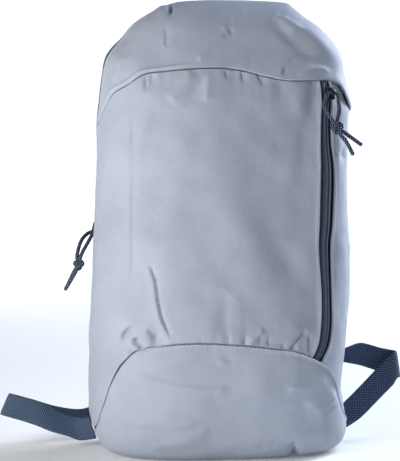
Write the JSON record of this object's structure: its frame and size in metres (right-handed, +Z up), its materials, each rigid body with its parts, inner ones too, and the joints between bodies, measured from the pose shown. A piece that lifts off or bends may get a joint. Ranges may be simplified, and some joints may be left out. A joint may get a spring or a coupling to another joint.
{
  "type": "backpack",
  "caption": "Small standing daypack in pale blue-grey cloth with an arched hood and base panel, a front pocket zip with a corded pull, and navy webbing shoulder straps.",
  "frame": {"origin": "on the underside of the base, on the bag's upright axis", "axes": "+Z up along the bag's height, -Y out of the front, +X to the right of someone facing the front"},
  "size_m": [0.3583, 0.1776, 0.391],
  "materials": {
    "shell_cloth": "smooth plain weave, slight sheen",
    "zip_tape": "woven tape with a nylon coil",
    "slider_metal": "satin",
    "pull_cord": "braided cord",
    "webbing": "woven webbing with fine light flecks",
    "pad_cloth": "padded plain weave",
    "buckle_plastic": "fine matt"
  },
  "bodies": {
    "root": {"back_panel": "shell_cloth", "base_panel": "shell_cloth", "front_panel": "shell_cloth", "front_pull_knot": "pull_cord", "front_pull_strand_a": "pull_cord", "front_pull_strand_b": "pull_cord", "front_pull_tail_a": "pull_cord", "front_pull_tail_b": "pull_cord", "front_zip": "zip_tape", "front_zip_slider": "slider_metal", "hood": "shell_cloth", "main_pull_knot": "pull_cord", "main_pull_strand_a": "pull_cord", "main_pull_strand_b": "pull_cord", "main_pull_tail_a": "pull_cord", "main_pull_tail_b": "pull_cord", "main_zip": "zip_tape", "main_zip_slider": "slider_metal", "right_panel": "shell_cloth", "strap_buckle_left": "buckle_plastic", "strap_buckle_right": "buckle_plastic", "strap_pad_left": "pad_cloth", "strap_pad_right": "pad_cloth", "strap_web_left": "webbing", "strap_web_right": "webbing"}
  },
  "joints": []
}
